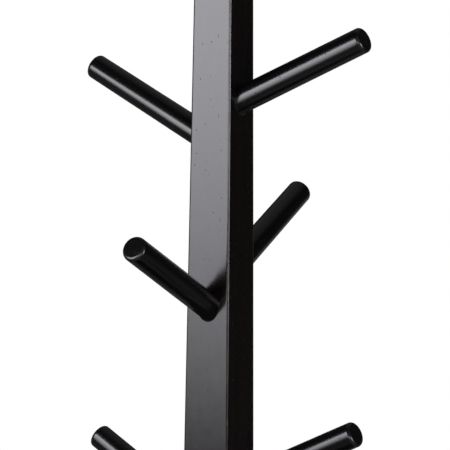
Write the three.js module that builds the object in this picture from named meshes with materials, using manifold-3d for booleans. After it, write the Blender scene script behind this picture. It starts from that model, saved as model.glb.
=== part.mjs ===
// A mug tree: a tapered square post on a square base, with six dowel pegs
// glued into slanted blind holes. A bolt through the base holds the post.
//
// Millimetres, +Z up. The origin is on the table, under the middle of the
// base. The front is -Y, and the right-hand side is +X.

import * as THREE from 'three';
import { mergeVertices } from 'three/addons/utils/BufferGeometryUtils.js';
import Module from 'manifold-3d';

const wasm = await Module();
wasm.setup();

// ---------------------------------------------------------------- dimensions

const TOTAL_HEIGHT = 380;
const FIT_GAP = 0.3; // between a pin and the wall of its hole

// Foot pads, stuck under the corners of the base.
const PAD_RADIUS = 11;
const PAD_THICKNESS = 2.5;
const PAD_EDGE_RADIUS = 0.6;
const PAD_OFFSET = 62; // from the middle, along X and along Y

// Base plate.
const BASE_SIDE = 160;
const BASE_THICKNESS = 17.5;
const BASE_CORNER_RADIUS = 14;
const BASE_EDGE_RADIUS = 2.5;
const BASE_TOP = PAD_THICKNESS + BASE_THICKNESS;

// Post, square in section and narrower towards the top.
const POST_FOOT_SIDE = 26;
const POST_TOP_SIDE = 19.5;
const POST_ARRIS_RADIUS = 1.6; // of the four long edges, at the foot
const POST_END_ROUNDING = 1;
const POST_HEIGHT = TOTAL_HEIGHT - BASE_TOP;

// Pegs, 12 mm dowel turned very slightly thinner towards the tip. Lengths
// are measured along the peg from the middle line of the post.
const PEG_REACH = 80;
const PEG_INNER_END = 2;
const PEG_INNER_RADIUS = 6.05;
const PEG_TIP_RADIUS = 5.82;
const PEG_TIP_ROUNDING = 1.4;
const PEG_INNER_CHAMFER = 0.8;
const PEG_HOLE_BOTTOM = 0.8;

// Each peg's heading is in degrees from +X towards +Y, its height is where its
// axis meets the middle line of the post, and its tilt is in degrees above
// level. Opposite pegs are staggered, so that their holes don't meet. The holes
// are drilled by hand on a tilted jig, so tilts and headings vary a little.
const PEGS = [
  { name: 'peg_top_right', heading: 0, height: 316.5, tilt: 24.5 },
  { name: 'peg_top_left', heading: 180, height: 299, tilt: 26.5 },
  { name: 'peg_middle_back', heading: 90, height: 238, tilt: 27.5 },
  { name: 'peg_middle_front', heading: -90, height: 222, tilt: 28 },
  { name: 'peg_bottom_right', heading: 1, height: 139, tilt: 27 },
  { name: 'peg_bottom_left', heading: 178, height: 120, tilt: 28.5 },
];

// M6 bolt from below, in a counterbore, with a washer under its head. It
// screws into a threaded insert in the foot of the post.
const COUNTERBORE_RADIUS = 8;
const COUNTERBORE_DEPTH = 8;
const COUNTERBORE_TOP = PAD_THICKNESS + COUNTERBORE_DEPTH;
const WASHER_RADIUS = 7;
const WASHER_THICKNESS = 1.5;
const BOLT_RADIUS = 3;
const BOLT_HEAD_RADIUS = 5.5;
const BOLT_HEAD_HEIGHT = 4;
const BOLT_EDGE_RADIUS = 0.8; // round the head, and as a chamfer at the end
const BOLT_SOCKET_WIDTH = 4; // across the flats of the hexagon
const BOLT_SOCKET_DEPTH = 2.4;
const BOLT_REACH = 17; // above the top of the base
const INSERT_RADIUS = 4.7;
const INSERT_RECESS = 1; // above the foot of the post
const INSERT_LENGTH = 15;
const INSERT_HOLE_DEPTH = 24;

// Two small dowels stop the post from turning on the base.
const DOWEL_RADIUS = 2.5;
const DOWEL_LENGTH = 16;
const DOWEL_CHAMFER = 0.5;
const DOWEL_HOLE_SPARE = 0.5; // at each end of the dowel
const DOWEL_OFFSET = 8; // from the middle, along X and along Y
const DOWEL_HOLE_TOP = BASE_TOP + DOWEL_LENGTH / 2 + DOWEL_HOLE_SPARE;
const DOWEL_HOLE_BOTTOM = BASE_TOP - DOWEL_LENGTH / 2 - DOWEL_HOLE_SPARE;

const DOWEL_PLACES = [
  { name: 'locating_dowel_back', x: DOWEL_OFFSET, y: DOWEL_OFFSET },
  { name: 'locating_dowel_front', x: -DOWEL_OFFSET, y: -DOWEL_OFFSET },
];

const ROUND_SEGMENTS = 32;
const HEXAGON = 6;
const ARC_SEGMENTS = 4;
const OVERCUT = 1; // how far a drill passes an open face
const MERGE_DISTANCE = 1e-4;

// ----------------------------------------------------------------- materials

function finish(color, roughness, metalness) {
  return new THREE.MeshStandardMaterial({ color, roughness, metalness });
}

const blackWood = () => finish('#1a1412', 0.32, 0);
const paleWood = () => finish('#c9a878', 0.7, 0);
const zincSteel = () => finish('#b9bcc0', 0.35, 1);
const brass = () => finish('#b8934a', 0.35, 1);
const padRubber = () => finish('#151515', 0.9, 0);

// ------------------------------------------------------------------- helpers

const radians = THREE.MathUtils.degToRad;

/** A closed geometry as a manifold solid, with its shared corners merged. */
function toSolid(geometry) {
  const shell = geometry.clone();
  shell.deleteAttribute('normal');
  shell.deleteAttribute('uv');
  const merged = mergeVertices(shell, MERGE_DISTANCE);
  const triangles = [];
  for (let i = 0; i < merged.index.count; i += 3) {
    const [a, b, c] = [0, 1, 2].map((corner) => merged.index.getX(i + corner));
    if (a !== b && b !== c && c !== a) triangles.push(a, b, c);
  }
  const mesh = new wasm.Mesh({
    numProp: 3,
    vertProperties: new Float32Array(merged.attributes.position.array),
    triVerts: new Uint32Array(triangles),
  });
  return new wasm.Manifold(mesh);
}

/** The body with every tool cut away from it, as a geometry again. */
function cut(body, tools) {
  const pieces = tools.map(toSolid);
  const result = pieces.reduce((solid, tool) => solid.subtract(tool), toSolid(body));
  const { vertProperties, triVerts } = result.getMesh();
  const geometry = new THREE.BufferGeometry();
  geometry.setAttribute('position', new THREE.BufferAttribute(vertProperties, 3));
  geometry.setIndex(new THREE.BufferAttribute(triVerts, 1));
  const flat = geometry.toNonIndexed();
  flat.computeVertexNormals();
  return flat;
}

/** A square with round corners, centred on the origin. */
function roundedSquare(side, radius) {
  const half = side / 2;
  const inner = half - radius;
  const shape = new THREE.Shape();
  shape.moveTo(half, -inner);
  [[1, 1], [-1, 1], [-1, -1], [1, -1]].forEach(([x, y], corner) => {
    const start = (corner * Math.PI) / 2;
    shape.absarc(x * inner, y * inner, radius, start, start + Math.PI / 2, false);
  });
  return shape;
}

/** A rounded square prism from z = 0 up to the height, with eased end faces. */
function easedPrism(side, cornerRadius, height, ease, easeSegments) {
  const shape = roundedSquare(side - 2 * ease, cornerRadius - ease);
  const prism = new THREE.ExtrudeGeometry(shape, {
    depth: height - 2 * ease,
    bevelThickness: ease,
    bevelSize: ease,
    bevelSegments: easeSegments,
    curveSegments: ARC_SEGMENTS,
  });
  return prism.translate(0, 0, ease);
}

/** A body of revolution about +Z from [radius, z] points, lowest point first. */
function turned(points) {
  const profile = points.map(([radius, z]) => new THREE.Vector2(radius, z));
  return new THREE.LatheGeometry(profile, ROUND_SEGMENTS).rotateX(Math.PI / 2);
}

/** A drill or pin along +Z between two heights. */
function cylinder(radius, from, to, segments = ROUND_SEGMENTS) {
  const body = new THREE.CylinderGeometry(radius, radius, to - from, segments);
  return body.rotateX(Math.PI / 2).translate(0, 0, (from + to) / 2);
}

/** Points of a quarter circle in a profile, from an angle to a later one. */
function quarterArc(centreRadius, centreZ, radius, fromDegrees) {
  const points = [];
  for (let step = 0; step <= ARC_SEGMENTS; step += 1) {
    const angle = radians(fromDegrees + (90 * step) / ARC_SEGMENTS);
    points.push([centreRadius + radius * Math.cos(angle), centreZ + radius * Math.sin(angle)]);
  }
  return points;
}

/** Turns a piece along +Z into a peg's place: along its slant, from the post. */
function pegPlacement({ heading, height, tilt }) {
  const lean = new THREE.Matrix4().makeRotationY(radians(90 - tilt));
  const turn = new THREE.Matrix4().makeRotationZ(radians(heading));
  return new THREE.Matrix4().makeTranslation(0, 0, height).multiply(turn).multiply(lean);
}

// -------------------------------------------------------------------- pieces

/** The tapered post, drilled for the pegs, the insert and the dowels. */
function postGeometry() {
  const blank = easedPrism(POST_FOOT_SIDE, POST_ARRIS_RADIUS, POST_HEIGHT, POST_END_ROUNDING, 2);
  const corners = blank.attributes.position;
  const narrowing = 1 - POST_TOP_SIDE / POST_FOOT_SIDE;
  for (let i = 0; i < corners.count; i += 1) {
    const width = 1 - (narrowing * corners.getZ(i)) / POST_HEIGHT;
    corners.setXY(i, corners.getX(i) * width, corners.getY(i) * width);
  }
  blank.translate(0, 0, BASE_TOP);

  const pegHoleRadius = PEG_INNER_RADIUS + FIT_GAP;
  const pegHoles = PEGS.map((peg) =>
    cylinder(pegHoleRadius, PEG_HOLE_BOTTOM, PEG_REACH).applyMatrix4(pegPlacement(peg)));
  const insertHole = cylinder(
    INSERT_RADIUS + FIT_GAP, BASE_TOP - OVERCUT, BASE_TOP + INSERT_HOLE_DEPTH);
  return cut(blank, [...pegHoles, insertHole, ...dowelHoles(BASE_TOP - OVERCUT, DOWEL_HOLE_TOP)]);
}

/** The base, with the bolt's stepped hole from below and two dowel holes. */
function baseGeometry() {
  const plate = easedPrism(BASE_SIDE, BASE_CORNER_RADIUS, BASE_THICKNESS, BASE_EDGE_RADIUS, 4);
  plate.translate(0, 0, PAD_THICKNESS);
  const boltHole = cylinder(BOLT_RADIUS + FIT_GAP, 0, BASE_TOP + OVERCUT);
  const counterbore = cylinder(COUNTERBORE_RADIUS, 0, COUNTERBORE_TOP);
  return cut(plate, [boltHole, counterbore, ...dowelHoles(DOWEL_HOLE_BOTTOM, BASE_TOP + OVERCUT)]);
}

/** A peg along +Z: chamfered inner end, slight taper, flat tip with a round edge. */
function pegGeometry() {
  const roundingStart = PEG_REACH - PEG_TIP_ROUNDING;
  return turned([
    [0, PEG_INNER_END],
    [PEG_INNER_RADIUS - PEG_INNER_CHAMFER, PEG_INNER_END],
    [PEG_INNER_RADIUS, PEG_INNER_END + PEG_INNER_CHAMFER],
    ...quarterArc(PEG_TIP_RADIUS - PEG_TIP_ROUNDING, roundingStart, PEG_TIP_ROUNDING, 0),
    [0, PEG_REACH],
  ]);
}

/** Drills for the two dowels between two heights. */
function dowelHoles(from, to) {
  return DOWEL_PLACES.map(({ x, y }) =>
    cylinder(DOWEL_RADIUS + FIT_GAP, from, to).translate(x, y, 0));
}

/** A dowel with chamfered ends, centred on its own middle. */
function dowelGeometry() {
  const half = DOWEL_LENGTH / 2;
  return turned([
    [0, -half],
    [DOWEL_RADIUS - DOWEL_CHAMFER, -half],
    [DOWEL_RADIUS, -half + DOWEL_CHAMFER],
    [DOWEL_RADIUS, half - DOWEL_CHAMFER],
    [DOWEL_RADIUS - DOWEL_CHAMFER, half],
    [0, half],
  ]);
}

/** A ring with a rectangular section, from z = 0 up to the height. */
function ringGeometry(innerRadius, outerRadius, height) {
  return turned([
    [innerRadius, 0],
    [outerRadius, 0],
    [outerRadius, height],
    [innerRadius, height],
    [innerRadius, 0],
  ]);
}

/** The bolt: a flat head with a hexagon socket, and a plain shank. */
function boltGeometry() {
  const headTop = COUNTERBORE_TOP - WASHER_THICKNESS;
  const headBottom = headTop - BOLT_HEAD_HEIGHT;
  const end = BASE_TOP + BOLT_REACH;
  const edge = BOLT_EDGE_RADIUS;
  const bolt = turned([
    [0, headBottom],
    ...quarterArc(BOLT_HEAD_RADIUS - edge, headBottom + edge, edge, -90),
    [BOLT_HEAD_RADIUS, headTop],
    [BOLT_RADIUS, headTop],
    [BOLT_RADIUS, end - edge],
    [BOLT_RADIUS - edge, end],
    [0, end],
  ]);
  const socketRadius = BOLT_SOCKET_WIDTH / Math.sqrt(3);
  const socketTop = headBottom + BOLT_SOCKET_DEPTH;
  const socket = cylinder(socketRadius, headBottom - OVERCUT, socketTop, HEXAGON);
  return cut(bolt, [socket]);
}

/** A foot pad: a disc with its lower edge rounded. */
function padGeometry() {
  return turned([
    [0, 0],
    ...quarterArc(PAD_RADIUS - PAD_EDGE_RADIUS, PAD_EDGE_RADIUS, PAD_EDGE_RADIUS, -90),
    [PAD_RADIUS, PAD_THICKNESS],
    [0, PAD_THICKNESS],
  ]);
}

// ------------------------------------------------------------------ assembly

const mugTree = new THREE.Group();

function add(name, geometry, material) {
  const mesh = new THREE.Mesh(geometry, material);
  mesh.name = name;
  mugTree.add(mesh);
  return mesh;
}

add('post', postGeometry(), blackWood());
add('base_plate', baseGeometry(), blackWood());

for (const peg of PEGS) {
  add(peg.name, pegGeometry(), blackWood()).applyMatrix4(pegPlacement(peg));
}

add('base_bolt', boltGeometry(), zincSteel());

const washer = ringGeometry(BOLT_RADIUS + FIT_GAP, WASHER_RADIUS, WASHER_THICKNESS);
add('bolt_washer', washer, zincSteel()).position.z = COUNTERBORE_TOP - WASHER_THICKNESS;

const insert = ringGeometry(BOLT_RADIUS + FIT_GAP, INSERT_RADIUS, INSERT_LENGTH);
add('threaded_insert', insert, brass()).position.z = BASE_TOP + INSERT_RECESS;

for (const { name, x, y } of DOWEL_PLACES) {
  add(name, dowelGeometry(), paleWood()).position.set(x, y, BASE_TOP);
}

for (const [side, x] of [['left', -PAD_OFFSET], ['right', PAD_OFFSET]]) {
  for (const [end, y] of [['front', -PAD_OFFSET], ['back', PAD_OFFSET]]) {
    add(`foot_pad_${end}_${side}`, padGeometry(), padRubber()).position.set(x, y, 0);
  }
}

export default mugTree;
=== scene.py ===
# %% [markdown]
# # A mug tree in black stained wood
# A mug tree is a post with slanted pegs. Each mug hangs by its handle. The CAD
# frame already fixes every size and place, so this lesson adds what CAD leaves
# out: true round surfaces, the grain under the stain, the varnish and the light.
# Everything is in metres, with +Z up and the origin under the middle of the base.

# %% Load the frame
import math

import bpy
import numpy as np
from mathutils import Matrix, Vector


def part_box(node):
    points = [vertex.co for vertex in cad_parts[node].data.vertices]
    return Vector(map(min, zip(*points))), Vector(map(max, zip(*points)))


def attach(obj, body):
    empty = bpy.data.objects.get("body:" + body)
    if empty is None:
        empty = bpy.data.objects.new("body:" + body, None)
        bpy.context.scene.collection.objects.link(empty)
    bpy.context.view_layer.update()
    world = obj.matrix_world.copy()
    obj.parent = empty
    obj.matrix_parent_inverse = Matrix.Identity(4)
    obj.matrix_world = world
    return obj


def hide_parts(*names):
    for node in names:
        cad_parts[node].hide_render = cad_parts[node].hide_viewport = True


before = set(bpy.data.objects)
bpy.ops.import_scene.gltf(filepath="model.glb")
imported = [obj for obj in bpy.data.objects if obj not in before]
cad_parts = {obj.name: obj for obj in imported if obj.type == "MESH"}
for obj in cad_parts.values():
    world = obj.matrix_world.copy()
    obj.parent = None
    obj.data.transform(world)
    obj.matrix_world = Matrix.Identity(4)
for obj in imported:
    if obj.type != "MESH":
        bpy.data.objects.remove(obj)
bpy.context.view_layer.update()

MM = 0.001
TURN = 2 * math.pi
rng = np.random.default_rng(11)
print("nodes in the frame:", len(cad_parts))

# %% [markdown]
# ## The camera
# A long lens from a little above the middle of the pegs keeps the post's sides
# nearly parallel. The camera is turned about the post, raised, and rolled by a
# fraction of a degree, as a tripod never stands quite level. It aims a little
# beside the post's middle line, which puts the post where it should be in view.

# %% Camera
CAMERA_AZIMUTH, CAMERA_ELEVATION, CAMERA_ROLL = 32.301, 5.879, 0.623
CAMERA_DISTANCE = 0.9947
CAMERA_LENS = 174.46
SENSOR_WIDTH = 36.0
AIM_HEIGHT, AIM_RIGHT, AIM_UP = 0.264, 1.60 * MM, -0.24 * MM


def direction(azimuth, elevation):
    """Unit vector towards an azimuth, counted from -Y towards +X, and an
    elevation, both in degrees."""
    a, e = math.radians(azimuth), math.radians(elevation)
    return Vector((math.sin(a) * math.cos(e), -math.cos(a) * math.cos(e), math.sin(e)))


back = direction(CAMERA_AZIMUTH, CAMERA_ELEVATION)
level_right = direction(CAMERA_AZIMUTH + 90, 0)
roll = Matrix.Rotation(math.radians(CAMERA_ROLL), 3, back)
right = roll @ level_right
up = back.cross(right)
aim = Vector((0, 0, AIM_HEIGHT)) + AIM_RIGHT * right + AIM_UP * up
axes = Matrix((right, up, back)).transposed().to_4x4()

camera = bpy.data.objects.new("camera", bpy.data.cameras.new("camera"))
camera.data.lens = CAMERA_LENS
camera.data.sensor_width = SENSOR_WIDTH
camera.matrix_world = Matrix.Translation(aim + CAMERA_DISTANCE * back) @ axes
bpy.context.scene.collection.objects.link(camera)
bpy.context.scene.camera = camera
print("camera stands at", tuple(round(v, 3) for v in camera.matrix_world.translation))

# %% [markdown]
# ## Reading places from the frame
# A visual piece must sit exactly where its CAD node sits. Typing the numbers in
# again would work until the first change of size, so they are measured from the
# nodes. A peg is a cloud of corners in rings: the direction in which the cloud
# is longest is the peg's axis, which a singular value decomposition gives.

# %% Corners of a node
def corners(node):
    """The different corner points of a CAD node, as rows of x, y, z."""
    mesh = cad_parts[node].data
    flat = np.empty(len(mesh.vertices) * 3)
    mesh.vertices.foreach_get("co", flat)
    return np.unique(flat.reshape(-1, 3).round(6), axis=0)


print("the post's node has", len(corners("post")), "corner points")

# %% Where an upright turned node stands
class Upright:
    """Centre, lowest and highest point and radius of an upright turned node."""

    def __init__(self, node):
        low, high = (np.array(corner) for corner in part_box(node))
        self.centre = np.array([(low[0] + high[0]) / 2, (low[1] + high[1]) / 2, 0.0])
        self.low, self.high = low[2], high[2]
        self.radius = (high[0] - low[0]) / 2


bolt_place = Upright("base_bolt")
washer_place = Upright("bolt_washer")
insert_place = Upright("threaded_insert")
for name, place in (("bolt head", bolt_place), ("washer", washer_place), ("insert", insert_place)):
    print(f"{name}: {2 * place.radius / MM:.1f} mm wide")

# %% How a peg lies
class Slanted:
    """A slanted peg: its inner end, its length, its radius at both ends, and
    three axes at right angles (level, upward, along the peg to its tip)."""

    def __init__(self, node):
        points = corners(node)
        middle = points.mean(axis=0)
        along = np.linalg.svd(points - middle)[2][0]
        along = along * np.sign(along[2])
        level = np.cross([0.0, 0.0, 1.0], along)
        level = level / np.linalg.norm(level)
        self.axes = np.array([level, np.cross(along, level), along])
        travel = (points - middle) @ along
        self.start = middle + travel.min() * along
        self.length = np.ptp(travel)
        reach = np.linalg.norm(np.cross(points - middle, along), axis=-1)
        self.inner_radius = reach[travel < 0].max()
        self.tip_radius = reach[travel > 0].max()

    def place(self, points):
        """Points in the peg's own axes, put where they are in the world."""
        return self.start + points @ self.axes


PEGS = sorted(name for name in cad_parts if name.startswith("peg_"))
slants = {name: Slanted(name) for name in PEGS}
for name, slant in slants.items():
    tilt = math.degrees(math.asin(slant.axes[2][2]))
    print(f"{name}: {slant.length / MM:.1f} mm long, tilted {tilt:.1f} degrees")

# %% [markdown]
# ## Surfaces as stacks of rings
# Nearly every piece here is a stack of rings: the same number of points in each
# ring, joined to the next ring by quads. A solid piece ends in two caps, and a
# piece with a hole through it joins its last ring to its first. Whole arrays of
# points come from one formula, so no point is placed by hand.

# %% Faces of a stack of rings
def ring_quads(rings, around, loop):
    """Quad (i, j) joins points j and j + 1 of ring i to those of ring i + 1."""
    i = np.arange(rings if loop else rings - 1)[:, None]
    j = np.arange(around)[None, :]
    above, beside = (i + 1) % rings, (j + 1) % around
    quads = [i * around + j, i * around + beside, above * around + beside, above * around + j]
    return np.stack(np.broadcast_arrays(*quads), axis=-1).reshape(-1, 4)


def cap_triangles(first, around, centre, upwards):
    """Triangles from one ring to a centre point, facing up or down its axis."""
    j = np.arange(around)
    edge = [first + j, first + (j + 1) % around]
    if not upwards:
        edge.reverse()
    return np.stack([*edge, np.full(around, centre)], axis=-1)


print("two rings of four points make", len(ring_quads(2, 4, loop=False)), "quads")

# %% A piece from its rings
SHARP_DEGREES = 35


def smooth(piece):
    """Smooth shading, except at edges that bend by more than SHARP_DEGREES."""
    piece.data.shade_smooth()
    piece.data.set_sharp_from_angle(angle=math.radians(SHARP_DEGREES))


def make_piece(name, rings, loop=False):
    """An object from an array of rings (ring, point, xyz)."""
    count, around = rings.shape[:2]
    points = rings.reshape(-1, 3)
    faces = ring_quads(count, around, loop).tolist()
    if not loop:
        points = np.vstack([points, rings[[0, -1]].mean(axis=1)])
        last = (count - 1) * around
        faces += cap_triangles(0, around, len(points) - 2, upwards=False).tolist()
        faces += cap_triangles(last, around, len(points) - 1, upwards=True).tolist()
    mesh = bpy.data.meshes.new(name)
    mesh.from_pydata(points.tolist(), [], faces)
    piece = bpy.data.objects.new(name, mesh)
    bpy.context.scene.collection.objects.link(piece)
    smooth(piece)
    print(f"{name}: {len(mesh.vertices)} points, {len(mesh.polygons)} faces")
    return piece


# %% Arcs and turned profiles
AROUND = 96  # points round a turned piece


def arc(centre, radius, start_degrees, end_degrees, steps):
    """Points at centre + radius * (cos a, sin a), as the angle a goes from
    start to end in equal steps."""
    angle = np.radians(np.linspace(start_degrees, end_degrees, steps + 1))
    return np.asarray(centre) + radius * np.stack([np.cos(angle), np.sin(angle)], axis=-1)


def angles(around):
    """Equal angles for one turn."""
    return np.arange(around) * TURN / around


def turned(profile, around=AROUND, centre=(0.0, 0.0, 0.0)):
    """Rings of a turned piece: each profile row (radius r, height z) becomes
    the circle (r cos a, r sin a, z) about a centre."""
    profile = np.asarray(profile)
    return around_axis(profile[:, :1], profile[:, 1:], angles(around)) + np.asarray(centre)


def around_axis(radius, height, angle):
    """Rings (r cos a, r sin a, z) from arrays of radius, height and angle that
    broadcast against each other."""
    radius, height, angle = np.broadcast_arrays(radius, height, angle)
    return np.stack([radius * np.cos(angle), radius * np.sin(angle), height], axis=-1)


print("a turned disc as rings, points, xyz:", turned([(5 * MM, 0), (5 * MM, 2 * MM)]).shape)

# %% [markdown]
# ## Outlines that are squares with round corners
# The post and the base have the same outline at two sizes. One quarter of it is
# half a side, a corner and half the next side, and the three others are made in
# the same way and turned by right angles. Each corner is a quarter of an ellipse,
# because sandpaper often takes more off one side than off the next. A point lies
# close to each corner: smooth shading bends the light over the whole width of a
# face, and a narrow strip of face beside the corner keeps the wide part flat.

# %% Rounded squares
def quarter_outline(half, reach_x, reach_y, flat_steps, corner_steps, guard):
    """One quarter of a rounded square, from the middle of the right side to
    the middle of the top: (half, y), then the corner, then (x, half). The
    corner is a quarter of an ellipse with the two reaches as its half axes."""
    half = half[:, None]
    inner_x, inner_y = half - np.reshape(reach_x, (-1, 1)), half - np.reshape(reach_y, (-1, 1))
    steps = np.linspace(0, 1, flat_steps + 1)
    run_x, run_y = steps * (inner_x - guard), steps * (inner_y - guard)
    side = np.broadcast_to(half, run_x.shape)
    angle = np.linspace(0, TURN / 4, corner_steps + 1)
    x = np.hstack([side, inner_x + (half - inner_x) * np.cos(angle), run_x[:, :0:-1]])
    y = np.hstack([run_y, inner_y + (half - inner_y) * np.sin(angle), side[:, 1:]])
    return x, y


def rounded_squares(half, reaches, flat_steps=6, corner_steps=10, guard=0.5 * MM):
    """Outlines (ring, point, xy), anticlockwise from the middle of the right
    side. `half` is half a side, one value per ring. `reaches` tells for each of
    the four corners how far its rounding reaches along the side after it, and
    how far along the side before it."""
    half = np.atleast_1d(half)
    quarters = []
    for turns, (reach_x, reach_y) in enumerate(reaches):
        x, y = quarter_outline(half, reach_x, reach_y, flat_steps, corner_steps, guard)
        turned_xy = [(x, y), (-y, x), (-x, -y), (y, -x)][turns]
        quarters.append(np.stack(turned_xy, axis=-1))
    return np.concatenate(quarters, axis=1)


def lift(outlines, height):
    """Outlines (ring, point, xy) raised to one height per ring."""
    level = np.broadcast_to(np.asarray(height)[:, None, None], (*outlines.shape[:2], 1))
    return np.concatenate([outlines, level], axis=-1)


print("points round a square:", rounded_squares(1.0, [(0.1, 0.1)] * 4).shape[1])

# %% [markdown]
# ## Drilling
# The holes for the pegs, the dowels and the bolt are cut with Boolean modifiers,
# as a drill cuts wood. The drills are turned pieces too, and they are thrown
# away afterwards.

# %% Cut drilled holes
def drill(piece, bits):
    """The piece with each drill bit cut away, as a plain mesh again."""
    for bit in bits:
        step = piece.modifiers.new("hole", "BOOLEAN")
        step.operation = "DIFFERENCE"
        step.solver = "EXACT"
        step.object = bit
    evaluated = piece.evaluated_get(bpy.context.evaluated_depsgraph_get())
    piece.data = bpy.data.meshes.new_from_object(evaluated)
    piece.data.name = piece.name
    piece.modifiers.clear()
    smooth(piece)
    for bit in bits:
        bpy.data.objects.remove(bit)
    print(f"{piece.name}: {len(bits)} holes drilled, {len(piece.data.polygons)} faces")


def drill_bit(radius, start, end, place):
    """A round bar of one radius between two distances along an axis, put in
    its place by the function `place`."""
    return make_piece("drill_bit", place(turned([(radius, start), (radius, end)])))


def stand_at(place):
    """The function that moves upright rings to where an upright node stands."""
    return lambda rings: rings + place.centre


# %% [markdown]
# ## The post
# The post tapers from foot to top, and its four long edges are only just eased
# by sanding. A hand never leaves them even: no two of them are alike, and each
# swells and shrinks by a share of itself along the post. A sum of a few sine
# waves of random phase is enough for that, and costs nothing.

# %% The post's taper
POST_END_ROUNDING = 1.0 * MM
# How far each long edge's rounding reaches along the side after it and before it.
POST_EDGES = np.array([(0.85, 0.85), (0.7, 0.7), (0.95, 0.35), (1.15, 1.15)]) * MM
POST_EDGE_WANDER = 0.12  # as a share of the edge's own reach
POST_EDGE_WAVES = 14
POST_RING_STEP = 3.0 * MM
END_STEPS = 6

post_points = corners("post")
POST_LOW, POST_HIGH = post_points[:, 2].min(), post_points[:, 2].max()
widest = post_points[:, 2] < POST_LOW + 2 * POST_END_ROUNDING
narrowest = post_points[:, 2] > POST_HIGH - 2 * POST_END_ROUNDING
POST_FOOT_HALF = post_points[widest, 0].max()
POST_TOP_HALF = post_points[narrowest, 0].max()
POST_SLOPE = (POST_TOP_HALF - POST_FOOT_HALF) / (POST_HIGH - POST_LOW - 2 * POST_END_ROUNDING)


def post_half(z):
    """Half the post's width at height z: a straight taper."""
    return POST_FOOT_HALF + POST_SLOPE * (z - POST_LOW - POST_END_ROUNDING)


print(f"post: {2 * POST_FOOT_HALF / MM:.1f} mm wide at the foot")
print(f"post: {2 * POST_TOP_HALF / MM:.1f} mm wide at the top")

# %% The post's surface
def wander(s, waves, strength):
    """A smooth random wander along s, which runs from 0 to 1: sines of random
    phase, weaker as they get shorter, that stay within +-strength."""
    number = np.arange(1, waves + 1)
    phase = rng.uniform(0, TURN, waves)
    share = rng.uniform(0.4, 1.0, waves) / number
    return strength * (np.sin(np.outer(s, number) * TURN + phase) @ share) / share.sum()


def post_rings():
    """Rounded squares up the post. Near each end the square draws in along a
    quarter circle, and the caps close the ends as flats."""
    end = arc((0, 0), POST_END_ROUNDING, 0, 90, END_STEPS)
    inset, rise = POST_END_ROUNDING - end[:, 0], end[:, 1]
    first, last = POST_LOW + POST_END_ROUNDING, POST_HIGH - POST_END_ROUNDING
    straight = np.linspace(first, last, round((last - first) / POST_RING_STEP))[1:-1]
    z = np.concatenate([first - rise[::-1], straight, last + rise])
    draw_in = np.concatenate([inset[::-1], np.zeros(len(straight)), inset])
    share = (z - POST_LOW) / (POST_HIGH - POST_LOW)
    edges = []
    for reach_after, reach_before in POST_EDGES:
        uneven = 1 + wander(share, POST_EDGE_WAVES, POST_EDGE_WANDER)
        edges.append((reach_after * uneven, reach_before * uneven))
    return lift(rounded_squares(post_half(z) - draw_in, edges), z)


post = make_piece("post_wood", post_rings())

# %% Drill the post for its pegs, its dowels and its insert
HOLE_SLACK = 0.03 * MM
FOOT_HOLE_SLACK = 0.1 * MM
INSERT_HOLE_DEPTH = 24 * MM
DOWEL_HOLE_SPARE = 0.5 * MM
DRILL_OVERSHOOT = 1 * MM
DOWELS = ["locating_dowel_back", "locating_dowel_front"]
dowel_places = {name: Upright(name) for name in DOWELS}

bits = [
    drill_bit(slant.inner_radius + HOLE_SLACK, -HOLE_SLACK, slant.length, slant.place)
    for slant in slants.values()
]
foot = POST_LOW - DRILL_OVERSHOOT
radius = insert_place.radius + FOOT_HOLE_SLACK
bits.append(drill_bit(radius, foot, POST_LOW + INSERT_HOLE_DEPTH, stand_at(insert_place)))
for place in dowel_places.values():
    radius, end = place.radius + FOOT_HOLE_SLACK, place.high + DOWEL_HOLE_SPARE
    bits.append(drill_bit(radius, foot, end, stand_at(place)))
drill(post, bits)

# %% [markdown]
# ## The pegs
# Each peg is a dowel, a little thinner at its free end, with a rounded tip that
# a mug's handle slides over. It is glued into a slanted hole, and the tree is
# varnished afterwards. The varnish creeps into the corner between peg and post
# and leaves a tiny round fillet, which sags and is widest under the peg. Here the
# fillet belongs to the peg's surface: the rings near the root lean over until
# they lie in the face of the post.

# %% Where a peg leaves the post
FILLET_ABOVE = 0.03 * MM
FILLET_BELOW = 0.55 * MM
FILLET_STEPS = 6
LIP_DEPTH = 0.03 * MM


def root_distance(slant, radius, angle):
    """How far along its axis a peg's surface crosses the post's tapered face.
    The face is the plane m . p = c, and a point of the peg is start + radius *
    (cos a level + sin a upward) + distance * along, so the distance follows."""
    outward = slant.axes[2] * [1, 1, 0]
    outward = outward / np.linalg.norm(outward)
    m = outward - [0, 0, POST_SLOPE]
    c = post_half(0.0)
    level, upward, along = slant.axes @ m
    sideways = radius * (np.cos(angle) * level + np.sin(angle) * upward)
    return (c - slant.start @ m - sideways) / along


for name, slant in slants.items():
    root = root_distance(slant, 0.0, np.zeros(1))[0]
    print(f"{name}: stands out {(slant.length - root) / MM:.1f} mm")

# %% A peg's surface
PEG_INNER_CHAMFER = 0.8 * MM
PEG_TIP_ROUNDING = 1.75 * MM
PEG_TIP_STEPS = 12
PEG_TIP_DISC = (0.85, 0.6, 0.3)  # radii of the rings in the flat of the tip, as shares
PEG_RINGS = 48
PEG_WAVES, PEG_WAVINESS = 5, 0.02 * MM
PEG_OVAL, PEG_LOBES = 0.002, 0.001  # shares of the radius, two and three times round


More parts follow.
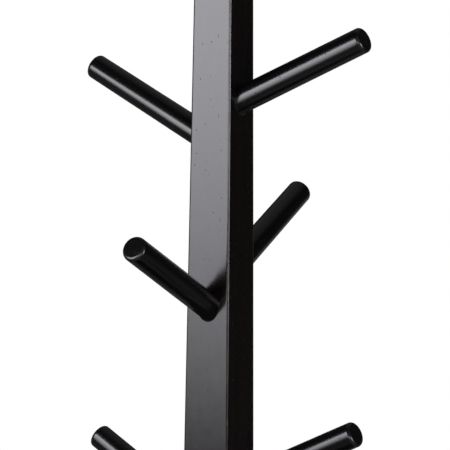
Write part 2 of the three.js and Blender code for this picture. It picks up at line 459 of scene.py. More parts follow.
def peg_rings(slant):
    """Rings from the inner end to the tip, in the peg's own axes. Radius and
    distance are both functions of a ring number and an angle a: inner end, then
    the lip and fillet in the post's face, then the taper, then the tip."""
    a = angles(AROUND)
    full, thin, length = slant.inner_radius, slant.tip_radius, slant.length
    crossing = root_distance(slant, full, a)
    sag = (0.5 - 0.5 * np.sin(a)) ** 4
    fillet = FILLET_ABOVE + (FILLET_BELOW - FILLET_ABOVE) * sag

    inner_r = np.array([full - PEG_INNER_CHAMFER, full])[:, None]
    inner_t = np.array([0, PEG_INNER_CHAMFER])[:, None]

    turn = np.radians(np.linspace(90, 0, FILLET_STEPS + 1))[:, None]
    lip_r = full + np.array([[0], [1]]) * fillet
    lip_t = root_distance(slant, lip_r, a) - LIP_DEPTH
    fillet_r = full + fillet * (1 - np.cos(turn))
    fillet_t = root_distance(slant, fillet_r, a) + fillet * (1 - np.sin(turn))

    share = np.linspace(0, 1, PEG_RINGS)[1:, None]
    end = length - PEG_TIP_ROUNDING
    shaft_t = (1 - share) * (crossing + fillet) + share * end
    slow = wander(share[:, 0], PEG_WAVES, PEG_WAVINESS)[:, None]
    shaft_r = full + (thin - full) * share + slow * share * (1 - share) * 4

    flat = thin - PEG_TIP_ROUNDING
    rounding = arc((flat, end), PEG_TIP_ROUNDING, 0, 90, PEG_TIP_STEPS)[1:]
    disc_r = flat * np.array(PEG_TIP_DISC)
    disc_t = np.full(len(PEG_TIP_DISC), length)
    tip_r = np.concatenate([rounding[:, 0], disc_r])[:, None]
    tip_t = np.concatenate([rounding[:, 1], disc_t])[:, None]

    stack = [(inner_r, inner_t), (lip_r, lip_t), (fillet_r, fillet_t)]
    stack += [(shaft_r, shaft_t), (tip_r, tip_t)]
    oval = PEG_OVAL * np.cos(2 * a + rng.uniform(0, TURN))
    lobes = PEG_LOBES * np.cos(3 * a + rng.uniform(0, TURN))
    return np.concatenate([around_axis(r * (1 + oval + lobes), t, a) for r, t in stack])


peg_pieces = {}
for name, slant in slants.items():
    peg_pieces[name] = make_piece(f"{name}_wood", slant.place(peg_rings(slant)))

# %% [markdown]
# ## The base plate
# The base is one board with round corners and eased edges. Under it, a wide
# counterbore hides the head of the bolt. Its surface goes once round the board:
# up the outside, in over the top, down the bolt's hole, and out underneath. The
# rings change from squares outside to circles inside, and their points share the
# same angles, so that the quads run straight outwards.

# %% Base plate
BASE_CORNER_RADIUS = 14 * MM
BASE_EDGE_RADIUS = 2.5 * MM
BASE_EDGE_STEPS, BASE_CORNER_STEPS = 16, 20
FLAT_STRIP = 0.8 * MM  # beside the rounded edge, so that the wide face shades flat
FLAT_INNER = 20 * MM  # from the rim to the innermost square, and from the counterbore out
SMALLEST_CORNER = 2 * MM
HOLE_EDGE = 0.3 * MM
BOLT_HOLE_RADIUS = 3.3 * MM
BOLT_HOLE_SURROUND = 25 * MM  # from the bolt's hole to the outermost circle on top
COUNTERBORE_RADIUS = 8.0 * MM
base_low, base_high = (np.array(corner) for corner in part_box("base_plate"))
BASE_LOW, BASE_HIGH = base_low[2], base_high[2]
BASE_HALF = base_high[0]


def base_squares(inset, z):
    """Rounded squares drawn in by an inset, with corners that shrink as much."""
    inset = np.asarray(inset)
    corner = np.maximum(BASE_CORNER_RADIUS - inset, SMALLEST_CORNER)
    reaches = [(corner, corner)] * 4
    squares = rounded_squares(
        BASE_HALF - inset, reaches, corner_steps=BASE_CORNER_STEPS, guard=4 * MM
    )
    return lift(squares, z)


def base_rings():
    """One closed round of rings: the outside, the top, the bolt's hole, the
    counterbore and the underside."""
    edge = BASE_EDGE_RADIUS
    out, rise = arc((0, 0), edge, -90, 90, BASE_EDGE_STEPS).T
    outside_z = np.where(rise < 0, BASE_LOW + edge, BASE_HIGH - edge) + rise
    outside = base_squares(edge - out, outside_z)
    top = base_squares([edge + FLAT_STRIP, FLAT_INNER], [BASE_HIGH, BASE_HIGH])
    under = base_squares([FLAT_INNER, edge + FLAT_STRIP], [BASE_LOW, BASE_LOW])
    square = outside[0, :, :2]
    angle = np.arctan2(square[:, 1], square[:, 0])
    bore, wide, ceiling = BOLT_HOLE_RADIUS, COUNTERBORE_RADIUS, washer_place.high
    circles = np.array([
        (bore + BOLT_HOLE_SURROUND, BASE_HIGH),
        (bore + HOLE_EDGE, BASE_HIGH),
        (bore, BASE_HIGH - HOLE_EDGE),
        (bore, ceiling),
        (wide, ceiling),
        (wide, BASE_LOW + HOLE_EDGE),
        (wide + HOLE_EDGE, BASE_LOW),
        (wide + FLAT_INNER, BASE_LOW),
    ])
    middle = around_axis(circles[:, :1], circles[:, 1:], angle)
    return np.concatenate([outside, top, middle, under])


base = make_piece("base_plate_wood", base_rings(), loop=True)
bits = []
for place in dowel_places.values():
    radius, low = place.radius + FOOT_HOLE_SLACK, place.low - DOWEL_HOLE_SPARE
    bits.append(drill_bit(radius, low, BASE_HIGH + DRILL_OVERSHOOT, stand_at(place)))
drill(base, bits)

# %% [markdown]
# ## Bolt, washer and insert
# One bolt comes up through the base and holds the post down. A screw thread is
# a turned surface whose radius also depends on the angle: going once round moves
# the groove along by one pitch. So a thread is the radius, less a depth times a
# triangle wave of (height / pitch - angle / turn). No Screw modifier is needed,
# and the thread can fade out smoothly at both ends.

# %% Screw threads
def thread(z, angle, pitch, depth):
    """Depth of a V groove at height z and an angle: a triangle wave that
    climbs by one pitch in each turn."""
    phase = np.mod(z / pitch - angle / TURN, 1)
    return depth * (1 - np.abs(2 * phase - 1))


def fade(z, low, high, run):
    """0 outside low..high and 1 inside, with ramps of length `run`."""
    return np.clip(np.minimum(z - low, high - z) / run, 0, 1)


print("a groove is deepest half a pitch up:", thread(0.5, 0.0, 1.0, 1.0))

# %% Bolt
BOLT_RADIUS = 3.0 * MM
BOLT_PITCH = 1.0 * MM
BOLT_THREAD_DEPTH = 0.5 * MM
BOLT_AROUND = 72
BOLT_PLAIN_LENGTH = 5 * MM  # of shank under the head, before the thread starts
BOLT_POINT_LENGTH, BOLT_POINT_TAPER = 1.2 * MM, 0.9 * MM
BOLT_END_RADIUS = 2.0 * MM
THREAD_RUN_OUT = 1.5 * MM
HEAD_EDGE = 0.8 * MM
HEAD_BEVEL = 0.15 * MM
NECK_RADIUS = 0.3 * MM
SOCKET_HALF = 2.0 * MM
SOCKET_DEPTH = 2.4 * MM
SOCKET_BEVEL = 0.25 * MM


def hexagon(angle, half_width):
    """Radius of a hexagon at an angle: half its width over the cosine of the
    angle from the middle of the nearest side."""
    from_middle = np.mod(angle + TURN / 12, TURN / 6) - TURN / 12
    return half_width / np.cos(from_middle)


def bolt_rings():
    """From the floor of the hexagon socket out over the head, then up the
    shank and its thread to a tapered point."""
    a = angles(BOLT_AROUND)
    low, top, head = bolt_place.low, bolt_place.high, washer_place.low
    wide = bolt_place.radius
    socket, mouth = hexagon(a, SOCKET_HALF), hexagon(a, SOCKET_HALF + SOCKET_BEVEL)
    socket_r = np.array([socket, socket, mouth])
    socket_z = np.array([low + SOCKET_DEPTH, low + SOCKET_BEVEL, low])[:, None]
    rim = arc((wide - HEAD_EDGE, low + HEAD_EDGE), HEAD_EDGE, -90, 0, 8)
    bevel = [(wide, head - HEAD_BEVEL), (wide - HEAD_BEVEL, head)]
    neck = arc((BOLT_RADIUS + NECK_RADIUS, head + NECK_RADIUS), NECK_RADIUS, 270, 180, 4)
    collar = np.vstack([rim, bevel, neck])
    z = np.arange(neck[-1, 1], top, BOLT_PITCH / 8)[1:, None]
    threaded = fade(z, head + BOLT_PLAIN_LENGTH, np.inf, THREAD_RUN_OUT)
    cut = thread(z, a, BOLT_PITCH, BOLT_THREAD_DEPTH) * threaded
    to_end = np.clip((z - top + BOLT_POINT_LENGTH) / BOLT_POINT_LENGTH, 0, 1)
    shank_r = BOLT_RADIUS - np.maximum(cut, to_end * BOLT_POINT_TAPER)
    parts = [(socket_r, socket_z), (collar[:, :1], collar[:, 1:]), (shank_r, z)]
    parts.append((np.array([[BOLT_END_RADIUS]]), np.array([[top]])))
    return np.concatenate([around_axis(r, h, a) for r, h in parts])


bolt = make_piece("base_bolt_steel", bolt_rings())

# %% Washer
def ring_profile(inner, outer, low, high, edge, steps=4):
    """A flat ring's section as a closed round: outside, top, bore, underside,
    with its four edges rounded."""
    return np.vstack([
        arc((outer - edge, low + edge), edge, -90, 0, steps),
        arc((outer - edge, high - edge), edge, 0, 90, steps),
        arc((inner + edge, high - edge), edge, 90, 180, steps),
        arc((inner + edge, low + edge), edge, 180, 270, steps),
    ])


WASHER_EDGE = 0.2 * MM
washer_span = (washer_place.low, washer_place.high)
profile = ring_profile(BOLT_HOLE_RADIUS, washer_place.radius, *washer_span, WASHER_EDGE)
washer = make_piece("bolt_washer_steel", turned(profile), loop=True)

# %% [markdown]
# The insert is a brass sleeve with a coarse thread outside, which bites into the
# wood, and a fine one inside for the bolt. Both come from the same formula.

# %% Insert
INSERT_PITCH = 2.5 * MM
INSERT_THREAD_DEPTH = 0.7 * MM
INSERT_BORE = 3.25 * MM
INSERT_BORE_DEPTH = 0.3 * MM  # of the fine thread
INSERT_AROUND = 72
OUTER_BEVEL, OUTER_BEVEL_RISE = 0.6 * MM, 0.3 * MM
INNER_BEVEL, INNER_BEVEL_RISE = 0.5 * MM, 0.4 * MM


def insert_rings():
    """Up the coarse thread outside, in over the top, down the fine thread
    inside, and out underneath: one closed round."""
    a = angles(INSERT_AROUND)
    low, high, wide = insert_place.low, insert_place.high, insert_place.radius
    z = np.arange(low + OUTER_BEVEL_RISE, high - OUTER_BEVEL_RISE, INSERT_PITCH / 16)[:, None]
    coarse = thread(z, a, INSERT_PITCH, INSERT_THREAD_DEPTH) * fade(z, low, high, THREAD_RUN_OUT)
    inner_z = np.arange(high - INNER_BEVEL_RISE, low + INNER_BEVEL_RISE, -BOLT_PITCH / 8)[:, None]
    fine = thread(inner_z, a, BOLT_PITCH, INSERT_BORE_DEPTH)
    ends_r = np.array([[wide - OUTER_BEVEL], [INSERT_BORE + INNER_BEVEL]])
    parts = [
        (ends_r[:1], np.array([[low]])),
        (wide - coarse, z),
        (ends_r, np.array([[high], [high]])),
        (INSERT_BORE + fine, inner_z),
        (ends_r[1:], np.array([[low]])),
    ]
    return np.concatenate([around_axis(r, h, a) for r, h in parts])


insert = make_piece("threaded_insert_brass", insert_rings(), loop=True)

# %% [markdown]
# ## Dowels and pads
# The two locating dowels are fluted beech: the flutes let glue and air out of a
# blind hole. They are a radius that dips a little many times round. The pads are
# soft rubber discs with fine rings pressed into the underside for grip.

# %% Fluted dowels
FLUTES = 18
FLUTE_STEPS = 8
FLUTE_DEPTH = 0.22 * MM
DOWEL_CHAMFER = 0.5 * MM


def dowel_rings(place):
    """Radius R less a flute depth times (0.5 - 0.5 cos of the flute angle),
    with a chamfer at both ends."""
    a = angles(FLUTES * FLUTE_STEPS)
    flute = FLUTE_DEPTH * (0.5 - 0.5 * np.cos(FLUTES * a))
    z = np.array([place.low, place.low + DOWEL_CHAMFER, place.high - DOWEL_CHAMFER, place.high])
    inset = np.array([DOWEL_CHAMFER, 0, 0, DOWEL_CHAMFER])
    return around_axis(place.radius - inset[:, None] - flute, z[:, None], a) + place.centre


dowels = {}
for name, place in dowel_places.items():
    dowels[name] = make_piece(f"{name}_beech", dowel_rings(place))

# %% Foot pads
PADS = sorted(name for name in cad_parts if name.startswith("foot_pad"))
PAD_EDGE = 0.6 * MM
PAD_STEPS = 80
GRIP_RINGS = 5
GRIP_DEPTH = 0.18 * MM
GRIP_MIDDLE, GRIP_MARGIN, GRIP_RUN = 1 * MM, 0.6 * MM, 0.5 * MM


def pad_rings(place):
    """Underside from the middle outwards, with grip rings as a cosine in the
    radius, then a rounded rim, the side and the top."""
    flat = place.radius - PAD_EDGE
    r = np.linspace(0.3 * MM, flat, PAD_STEPS + 1)
    within = fade(r, GRIP_MIDDLE, flat - GRIP_MARGIN, GRIP_RUN)
    groove = GRIP_DEPTH * within * (0.5 - 0.5 * np.cos(TURN * GRIP_RINGS * r / flat)) ** 3
    underside = np.stack([r, place.low + groove], axis=-1)
    rim = arc((flat, place.low + PAD_EDGE), PAD_EDGE, -90, 0, 6)[1:]
    small = PAD_EDGE / 2
    shoulder = arc((flat + small, place.high - small), small, 0, 90, 4)
    return turned(np.vstack([underside, rim, shoulder]), centre=place.centre)


pads = {name: make_piece(f"{name}_rubber", pad_rings(Upright(name))) for name in PADS}

# %% [markdown]
# ## Three things the finish needs to know
# Wood is cut from a solid, so its pattern has to go through the piece rather
# than round it. Each point of a wooden piece therefore carries its place in the
# blank it was cut from, with the third number along the grain, and each piece
# comes from another part of the blank. A second value says how near the point
# lies to an edge, where hands and sandpaper thin the stain. A third tells turned
# rods from planed boards, because rods are sanded finer.

# %% Attributes for grain and edges
def points_of(piece):
    """All points of a finished piece, as rows of x, y, z."""
    flat = np.empty(len(piece.data.vertices) * 3)
    piece.data.vertices.foreach_get("co", flat)
    return flat.reshape(-1, 3)


def store(piece, name, kind, values):
    """One value or vector per point, kept in the mesh under a name."""
    attribute = piece.data.attributes.new(name, kind, "POINT")
    attribute.data.foreach_set("vector" if kind == "FLOAT_VECTOR" else "value", values.ravel())


def mark_grain(piece, grain_axes, edge, turned_rod=0.0):
    """Store the place in the blank (in metres), the nearness to an edge, and
    whether the piece is a turned rod (1) or a planed board (0)."""
    blank = rng.uniform(-0.5, 0.5, 3)
    place = (points_of(piece) - points_of(piece).mean(axis=0)) @ np.asarray(grain_axes).T + blank
    store(piece, "grain", "FLOAT_VECTOR", place.astype(np.float32))
    store(piece, "edge", "FLOAT", np.clip(edge, 0, 1).astype(np.float32))
    store(piece, "rod", "FLOAT", np.full(len(place), turned_rod, np.float32))
    print(f"{piece.name}: marked {len(place)} points")


# %% Mark the wooden pieces
WEAR_REACH = 1.5 * MM  # how far from the post's long edges the wear starts
WEAR_REACH_AT_ENDS = 1.2 * MM
WEAR_RUN = 0.5 * MM  # from no wear to full wear
TIP_RUN = 0.4 * PEG_TIP_ROUNDING

x, y, z = points_of(post).T
half = post_half(z)
beside = np.minimum(np.abs(x), np.abs(y)) - (half - WEAR_REACH)
at_end = np.maximum(z - POST_HIGH, POST_LOW - z) + WEAR_REACH_AT_ENDS
rim = np.maximum(np.abs(x), np.abs(y)) - (half - WEAR_REACH_AT_ENDS)
mark_grain(post, np.eye(3), np.maximum(beside, np.minimum(at_end, rim)) / WEAR_RUN)

for name, slant in slants.items():
    local = (points_of(peg_pieces[name]) - slant.start) @ slant.axes.T
    near_tip = local[:, 2] - (slant.length - PEG_TIP_ROUNDING)
    mark_grain(peg_pieces[name], slant.axes, near_tip / TIP_RUN, turned_rod=1.0)

x, y, z = points_of(base).T
side = np.maximum(np.abs(x), np.abs(y)) - (BASE_HALF - BASE_EDGE_RADIUS)
level = np.maximum(z - BASE_HIGH, BASE_LOW - z) + BASE_EDGE_RADIUS
ALONG_X = [[0, 0, 1], [0, 1, 0], [1, 0, 0]]
mark_grain(base, ALONG_X, np.minimum(side, level) / (BASE_EDGE_RADIUS / 2))

for piece in dowels.values():
    mark_grain(piece, np.eye(3), np.zeros(len(piece.data.vertices)))

# %% [markdown]
# ## Shader arithmetic
# A pattern such as "specks where the noise is high" is arithmetic on sockets. The
# class below wraps a socket so that Python's own operators add the Math nodes.
# Everything else goes through one method, which makes a node, sets it up, and
# fills or links its sockets.

# %% Wires and finishes
class Wire:
    """An output socket of a node in a finish, with arithmetic on values."""

    def __init__(self, finish, socket):
        self.finish, self.socket = finish, socket

    def math(self, operation, first, second):
        inputs = {"Value": first, "Value_001": second}
        return self.finish.node("Math", {"operation": operation}, inputs)

    def __add__(self, other):
        return self.math("ADD", self, other)

    def __sub__(self, other):
        return self.math("SUBTRACT", self, other)

    def __rsub__(self, other):
        return self.math("SUBTRACT", other, self)

    def __mul__(self, other):
        return self.math("MULTIPLY", self, other)

    __radd__, __rmul__ = __add__, __mul__


class Finish:
    """A material, or the world, while its nodes are being laid out."""

    def __init__(self, owner, output="Material"):
        owner.use_nodes = True
        self.owner, self.tree = owner, owner.node_tree
        self.tree.nodes.clear()
        self.output = self.tree.nodes.new(f"ShaderNodeOutput{output}")

    def node(self, kind, settings=None, inputs=None, output=0):
        """A node of a kind. Settings come first, then sockets, which are named
        by identifier and get a value or a wire."""
        made = self.tree.nodes.new(f"ShaderNode{kind}")
        for name, value in (settings or {}).items():
            setattr(made, name, value)
        sockets = {socket.identifier: socket for socket in made.inputs}
        for name, value in (inputs or {}).items():
            if isinstance(value, Wire):
                self.tree.links.new(value.socket, sockets[name])
            else:
                sockets[name].default_value = value
        return Wire(self, made.outputs[output])

    def use(self, shader):
        """Link the last shader to the output, and give back what owns the nodes."""
        self.tree.links.new(shader.socket, self.output.inputs["Surface"])
        return self.owner


# %% Patterns that every finish uses
def vector_attribute(finish, name):
    """The vector that the mesh keeps under a name."""
    return finish.node("Attribute", {"attribute_name": name}, output=1)


def value_attribute(finish, name):
    """The value that the mesh keeps under a name."""
    return finish.node("Attribute", {"attribute_name": name}, output=2)


def object_place(finish):
    """The place in the object's own axes, in metres."""
    return finish.node("TexCoord", output=3)


def stretched(finish, place, scales):
    """A place with each coordinate multiplied by its own scale, per metre."""
    inputs = {"Vector": place, "Vector_001": scales}
    return finish.node("VectorMath", {"operation": "MULTIPLY"}, inputs)


def noise(finish, place, scales, detail=2.0, roughness=0.5):
    """Noise between 0 and 1, mostly close to 0.5."""
    inputs = {"Vector": stretched(finish, place, scales), "Scale": 1.0}
    inputs |= {"Detail": detail, "Roughness": roughness}
    return finish.node("TexNoise", {"noise_dimensions": "3D"}, inputs)


def spots(finish, place, scales):
    """The distance to the nearest of many scattered points, counted in cells."""
    inputs = {"Vector": stretched(finish, place, scales), "Scale": 1.0}
    return finish.node("TexVoronoi", {"feature": "F1"}, inputs)


def above(finish, value, low, high):
    """0 below low, 1 above high, and a smooth step between."""
    inputs = {"Value": value, "From Min": low, "From Max": high}
    return finish.node("MapRange", {"interpolation_type": "SMOOTHSTEP"}, inputs)


def blend(finish, factor, first, second):
    """A mix of two colours."""
    inputs = {"Factor_Float": factor, "A_Color": first, "B_Color": second}
    return finish.node("Mix", {"data_type": "RGBA"}, inputs, output=2)


def bump(finish, height_mm):
    """A normal from a height in millimetres."""
    return finish.node("Bump", None, {"Height": height_mm, "Distance": MM, "Strength": 1.0})


# %% [markdown]
# ## Black stained and varnished wood
# Black stain hides almost all colour, so the wood shows in the gloss rather than
# in the stain. Some pores stay open under a thin satin varnish, and they read as
# scattered dark pits and short dashes along the grain. Voronoi cells make them:
# a pit is wherever a point is very close to the middle of a cell. The varnish
# film has a fine orange peel, slow waves and a faint mottle, and softer streaks
# follow the growth rings. All of that is height and roughness. Colour adds specks
# of dust and a warm brown where the stain is worn. Boards keep a brown tone, and
# rods, which are sanded finer, are a neutral black. The tips of the rods are end
# grain filled with varnish, so most of the pattern stops there.

# %% Black wood
def make_black_wood():
    """Black stained wood under satin varnish. Heights are in millimetres."""
    finish = Finish(bpy.data.materials.new("black_stained_wood"))
    grain = vector_attribute(finish, "grain")
    edge = value_attribute(finish, "edge")
    rod = value_attribute(finish, "rod")
    board = 1 - rod
    tip = rod * edge

    streak = noise(finish, grain, (300, 300, 9), detail=3)
    fibre = noise(finish, grain, (1900, 1900, 45), detail=2)
    pit = 1 - above(finish, spots(finish, grain, (400, 400, 240)), 0.05, 0.11)
    dash = 1 - above(finish, spots(finish, grain, (330, 330, 60)), 0.03, 0.09)
    some = above(finish, noise(finish, grain, (140, 140, 60), detail=1), 0.4, 0.6)
    pore = (pit * some + dash * 0.5) * (1 - tip)
    mottle = noise(finish, grain, (220, 220, 75), detail=2)
    dot = noise(finish, grain, (1500, 1500, 900), detail=1)
    speck = above(finish, dot, 0.71, 0.74) * (board * 0.8 + 0.2)
    peel = noise(finish, grain, (900, 900, 300), detail=2)
    sway = noise(finish, grain, (80, 80, 22), detail=2)
    smudge = noise(finish, grain, (45, 45, 30), detail=3)
    patchy = above(finish, noise(finish, grain, (420, 420, 160), detail=3), 0.5, 0.7)
    worn = edge * patchy * (1 - tip * 0.8)

    tone = above(finish, streak, 0.35, 0.65)
    brown = blend(finish, tone, (0.0018, 0.001, 0.0009, 1), (0.0034, 0.0019, 0.0016, 1))
    neutral = blend(finish, tone, (0.0006, 0.0006, 0.0006, 1), (0.0013, 0.0013, 0.0012, 1))
    colour = blend(finish, rod, brown, neutral)
    colour = blend(finish, speck * 0.7, colour, (0.035, 0.014, 0.008, 1))
    colour = blend(finish, worn * 0.5, colour, (0.022, 0.013, 0.009, 1))

    rough = 0.14 + rod * 0.03 + fibre * 0.04 + smudge * 0.07 + pore * 0.4 + worn * 0.05
    lines = (fibre * (rod * 0.0016 + 0.0004) + streak * (rod * 0.012 + 0.007)) * (1 - tip)
    film = peel * 0.0009 + lines + sway * 0.03 + mottle * board * 0.07
    height = film - pore * 0.03 - speck * 0.004
    shader = finish.node("BsdfPrincipled", None, {
        "Base Color": colour,
        "Roughness": rough,
        "IOR": 1.5,
        "Normal": bump(finish, height),
    })
    return finish.use(shader)


black_wood = make_black_wood()

# %% [markdown]
# ## Beech, steel, brass and rubber
# These are hidden or underneath, but they are looked at when the tree is turned
# over. Beech is pale with short brown rays. Zinc on steel is a bright grey with
# a cloudy bluish tint. Brass has turning marks. Rubber is dull with a fine
# moulded grain and a little dust on it.

# %% Beech
def make_beech():
    """Bare beech: growth rings, short rays and fine fibres along the grain."""
    finish = Finish(bpy.data.materials.new("plain_beech"))
    grain = vector_attribute(finish, "grain")
    rings = noise(finish, grain, (500, 500, 14), detail=3)
    rays = above(finish, noise(finish, grain, (2600, 1100, 420), detail=1), 0.62, 0.7)
    fibre = noise(finish, grain, (3500, 3500, 90), detail=2)
    late_wood = above(finish, rings, 0.35, 0.65)
    colour = blend(finish, late_wood, (0.56, 0.36, 0.2, 1), (0.45, 0.27, 0.14, 1))
    colour = blend(finish, rays * 0.6, colour, (0.3, 0.16, 0.08, 1))
    shader = finish.node("BsdfPrincipled", None, {
        "Base Color": colour,
        "Roughness": 0.55 + fibre * 0.2,
        "Normal": bump(finish, fibre * 0.02 + rays * 0.01),
    })
    return finish.use(shader)


# %% Metals
def make_metal(name, light, dark, rough, cloud_scale, mark_depth):
    """A turned metal: clouds of a darker tint, and fine marks round the axis,
    which is upright in every metal piece here."""
    finish = Finish(bpy.data.materials.new(name))
    place = object_place(finish)
    cloud = noise(finish, place, (cloud_scale,) * 3, detail=4, roughness=0.6)
    mark = noise(finish, place, (120, 120, 9000), detail=2)
    grit = noise(finish, place, (4000,) * 3, detail=2)
    shader = finish.node("BsdfPrincipled", None, {
        "Base Color": blend(finish, above(finish, cloud, 0.38, 0.64), light, dark),
        "Metallic": 1.0,
        "Roughness": rough + cloud * 0.16 + grit * 0.06,
        "Normal": bump(finish, mark * mark_depth + grit * 0.0015),
    })
    return finish.use(shader)


# %% Rubber
def make_rubber():
    """Dull black rubber with a moulded grain and patches of dust."""
    finish = Finish(bpy.data.materials.new("pad_rubber"))
    place = object_place(finish)
    pebble = noise(finish, place, (2200,) * 3, detail=3)
    dust = above(finish, noise(finish, place, (260,) * 3, detail=5, roughness=0.65), 0.48, 0.7)
    shader = finish.node("BsdfPrincipled", None, {
        "Base Color": blend(finish, dust * 0.6, (0.018, 0.018, 0.019, 1), (0.075, 0.07, 0.064, 1)),
        "Roughness": 0.62 + dust * 0.2,
        "Normal": bump(finish, pebble * 0.03),
    })
    return finish.use(shader)


beech = make_beech()
zinc = make_metal(
    "zinc_plated_steel", light=(0.56, 0.58, 0.6, 1), dark=(0.38, 0.4, 0.44, 1),
    rough=0.26, cloud_scale=420, mark_depth=0.002,
)
brass = make_metal(
    "turned_brass", light=(0.66, 0.48, 0.2, 1), dark=(0.45, 0.3, 0.11, 1),
    rough=0.24, cloud_scale=300, mark_depth=0.003,
)
rubber = make_rubber()
print("finishes:", [m.name for m in (black_wood, beech, zinc, brass, rubber)])

# %% [markdown]
# ## Handing over
# Each piece gets its finish, says which CAD node it stands for, hides that node,
# and rides on the one rigid body.

# %% Finish, replace, ride
def hand_over(piece, node, material):
    """Finish a piece and let it stand for one CAD node."""
    piece.data.materials.clear()
    piece.data.materials.append(material)
    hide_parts(node)
    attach(piece, "root")
    print(f"{piece.name} stands for {node}, in {material.name}")


hand_over(post, "post", black_wood)
hand_over(base, "base_plate", black_wood)
for name, piece in peg_pieces.items():
    hand_over(piece, name, black_wood)
for name, piece in dowels.items():
    hand_over(piece, name, beech)
hand_over(bolt, "base_bolt", zinc)
hand_over(washer, "bolt_washer", zinc)
hand_over(insert, "threaded_insert", brass)
for name, piece in pads.items():
    hand_over(piece, name, rubber)

# %% [markdown]
# ## Floor
# The floor is a pale disc that fades out before its rim, so that it melts into
# the white of the studio from every side. It glows faintly, which lifts the
# shadow under the base. Black varnish would mirror a white floor as a grey veil,
# so the floor isn't seen in reflections.

# %% Floor
FLOOR_RADIUS = 0.72
FLOOR_FADE = (0.12, FLOOR_RADIUS * 0.95)
FLOOR_DROP = 0.05 * MM
FLOOR_RINGS, FLOOR_AROUND = 24, 128

radii = FLOOR_RADIUS * np.linspace(1, 0.02, FLOOR_RINGS)
floor_profile = np.stack([radii, np.full(FLOOR_RINGS, -FLOOR_DROP)], axis=-1)
floor_points = turned(floor_profile, FLOOR_AROUND).reshape(-1, 3)
floor_points = np.vstack([floor_points, [0, 0, -FLOOR_DROP]])
innermost = (FLOOR_RINGS - 1) * FLOOR_AROUND
faces = ring_quads(FLOOR_RINGS, FLOOR_AROUND, loop=False).tolist()
faces += cap_triangles(innermost, FLOOR_AROUND, innermost + FLOOR_AROUND, upwards=True).tolist()
floor_mesh = bpy.data.meshes.new("floor")
floor_mesh.from_pydata(floor_points.tolist(), [], faces)
floor = bpy.data.objects.new("floor", floor_mesh)
bpy.context.scene.collection.objects.link(floor)
print(f"floor: {2 * FLOOR_RADIUS:.2f} m across, {len(floor_mesh.polygons)} faces")

# %% The floor's finish
finish = Finish(bpy.data.materials.new("studio_floor"))
place = object_place(finish)
distance = finish.node("VectorMath", {"operation": "LENGTH"}, {"Vector": place}, output=1)
tint = noise(finish, place, (3, 3, 3), detail=2)
shader = finish.node("BsdfPrincipled", None, {
    "Base Color": blend(finish, tint, (0.86, 0.86, 0.85, 1), (0.9, 0.9, 0.89, 1)),
    "Roughness": 0.9,
    "Alpha": 1 - above(finish, distance, *FLOOR_FADE),
    "Emission Color": (1, 1, 1, 1),
    "Emission Strength": 0.25,
})
floor_mesh.materials.append(finish.use(shader))
floor.visible_glossy = False
print("floor finish:", len(finish.tree.nodes), "nodes")

# %% [markdown]
# ## Light
# The look of black varnish is the look of the lamps in it. A tall soft box on
# the left fills one face of the post and draws a band along each peg. It dims
# towards its foot, and so does the face that mirrors it. A narrow one on the
# right is seen only in the rounded edge between two faces. A wide, low one far in
# front draws softer bands. A lamp overhead lights the floor but is kept out of
# reflections.

# %% Soft boxes
LAMP_TINT = (0.985, 0.972, 1.043)  # a trace of violet


def soft_box(name, azimuth, distance, low, high, width, strength, yaw=0.0, curve=None):
    """An upright rectangle at an azimuth, from one height to another. It faces
    the post, or is turned away by a yaw in degrees. Its strength is the
    brightness of its top edge. With a curve it dims towards its foot, as
    1 - (1 - share) ** curve, where share is 0 at the foot and 1 at the top."""
    height = high - low
    lamp = bpy.data.lights.new(name, "AREA")
    lamp.shape = "RECTANGLE"
    lamp.size, lamp.size_y = width, height
    lamp.energy = 4 * width * height
    lamp.color = LAMP_TINT
    finish = Finish(lamp, output="Light")
    level = strength
    if curve:
        across = finish.node("NewGeometry", output=5)
        from_top = 1 - finish.node("SeparateXYZ", None, {"Vector": across}, output=1)
        level = (1 - from_top.math("POWER", from_top, curve)) * strength
    finish.use(finish.node("Emission", None, {"Strength": level}))
    box = bpy.data.objects.new(name, lamp)
    place = direction(azimuth, 0) * distance + Vector((0, 0, (low + high) / 2))
    facing = (-direction(azimuth + yaw, 0)).to_track_quat("-Z", "Y")
    box.matrix_world = Matrix.Translation(place) @ facing.to_matrix().to_4x4()
    box.visible_camera = False
    bpy.context.scene.collection.objects.link(box)
    print(f"{name}: {width:.2f} m wide, {height:.2f} m high")


soft_box(
    "main_box", azimuth=-28.8, distance=0.574, low=0.02, high=0.465, width=0.43,
    strength=7.35, yaw=29.7, curve=1.5,
)
soft_box(
    "edge_box", azimuth=78, distance=1.0, low=0.0, high=0.45, width=0.28,
    strength=11.5, curve=2,
)
soft_box("front_box", azimuth=24, distance=3.0, low=0.12, high=0.5, width=2.4, strength=6.5)


def overhead(name, height, width, strength):
    """A square soft box that looks straight down and isn't seen in gloss."""
    lamp = bpy.data.lights.new(name, "AREA")
    lamp.size = width
    lamp.energy = 4 * strength * width * width
    box = bpy.data.objects.new(name, lamp)
    box.matrix_world = Matrix.Translation((0, 0, height))
    box.visible_camera = box.visible_glossy = False
    bpy.context.scene.collection.objects.link(box)
    print(f"{name}: {width:.2f} m wide, {height:.2f} m up")


overhead("sky_box", height=1.6, width=1.2, strength=2.6)

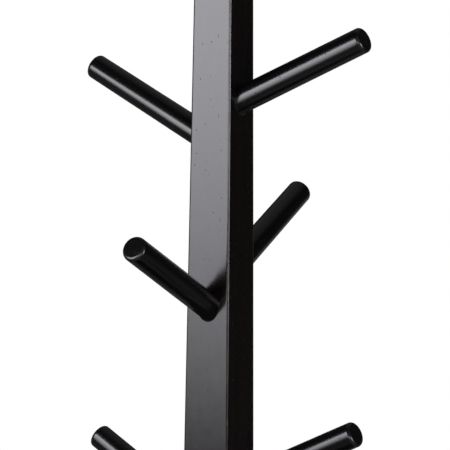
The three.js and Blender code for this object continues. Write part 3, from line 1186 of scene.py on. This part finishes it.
# %% [markdown]
# ## The room
# A real studio is never quite black. Its walls, stands and reflectors catch a
# little light, and black varnish shows them as faint tones where no lamp is
# mirrored. The room is a very dark grey with a lighter floor, and a few soft
# round glows stand for the rest. The camera itself sees plain white behind the
# tree, which a Light Path node allows: it tells camera rays from all others.

# %% Soft glows in the room
def near(finish, place, azimuth, elevation, full, none):
    """1 within `full` degrees of a direction, and 0 from `none` degrees on."""
    inputs = {"Vector": place, "Vector_001": direction(azimuth, elevation)}
    along = finish.node("VectorMath", {"operation": "DOT_PRODUCT"}, inputs, output=1)
    return above(finish, along, math.cos(math.radians(none)), math.cos(math.radians(full)))


GLOWS = [  # azimuth, elevation, full and none, all in degrees, then strength
    (50, 0, 45, 70, 0.25),
    (-78, -10, 12, 20, 0.4),
    (-160, 62, 10, 50, 0.15),
    (0, -90, 5, 45, 0.14),
    (182, -14, 8, 26, 0.15),
]
print("soft glows:", len(GLOWS))

# %% World
ROOM_LEVEL = 0.027
ROOM_FLOOR_LEVEL = 0.08
ROOM_FLOOR_FROM, ROOM_FLOOR_FULL = 0.12, 0.5  # how far a direction points down

world = bpy.data.worlds.new("studio")
bpy.context.scene.world = world
finish = Finish(world, output="World")
seen_by_camera = finish.node("LightPath")
facing = finish.node("TexCoord")
height = finish.node("SeparateXYZ", None, {"Vector": facing}, output=2)
below = above(finish, 0 - height, ROOM_FLOOR_FROM, ROOM_FLOOR_FULL)
dim = ROOM_LEVEL + below * ROOM_FLOOR_LEVEL
for azimuth, elevation, full, none, strength in GLOWS:
    dim = dim + near(finish, facing, azimuth, elevation, full, none) * strength
glow = finish.node("Background", None, {"Color": (1, 1, 1, 1), "Strength": dim})
white = finish.node("Background", None, {"Color": (1, 1, 1, 1), "Strength": 1.0})
ends = {"Fac": seen_by_camera, "Shader": glow, "Shader_001": white}
finish.use(finish.node("MixShader", None, ends))
print("world:", len(finish.tree.nodes), "nodes")

# %% [markdown]
# ## The end
# Colours are shown as they are, without a film look.

# %% View
bpy.context.scene.view_settings.view_transform = "Standard"
bpy.context.scene.view_settings.look = "None"
print("view:", bpy.context.scene.view_settings.view_transform)
